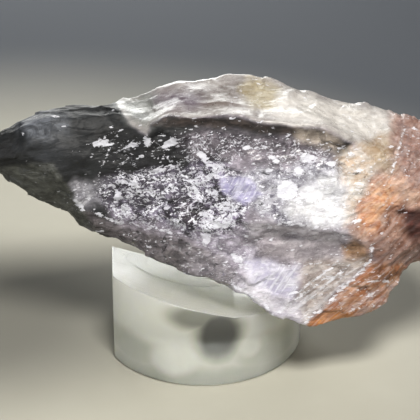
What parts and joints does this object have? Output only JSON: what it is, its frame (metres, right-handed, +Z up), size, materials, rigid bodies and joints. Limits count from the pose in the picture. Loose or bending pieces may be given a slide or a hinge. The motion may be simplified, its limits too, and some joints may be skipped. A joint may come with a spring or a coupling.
{
  "type": "rough amethyst shard on a stand",
  "caption": "Long broken shard of rough smoky, lilac and iron-stained quartz with one flat top facet and one great face, lying in the sloping sawn top of a low round clear plastic block.",
  "frame": {"origin": "middle of the round foot of the stand, on the surface it stands on", "axes": "+X along the shard from its smoky tip to its rusty broken end, +Z up, -Y the side of the great face"},
  "size_m": [0.06, 0.0212, 0.0334],
  "materials": {
    "amethyst": "glassy broken quartz: smoky black at the tip, lilac and white in the middle, iron orange and brown at the broken end",
    "clear_plastic": "cloudy clear plastic with a slight yellow-green tint, smooth sides and saw marks on top"
  },
  "bodies": {
    "root": {"amethyst": "amethyst", "display_stand": "clear_plastic"}
  },
  "joints": []
}
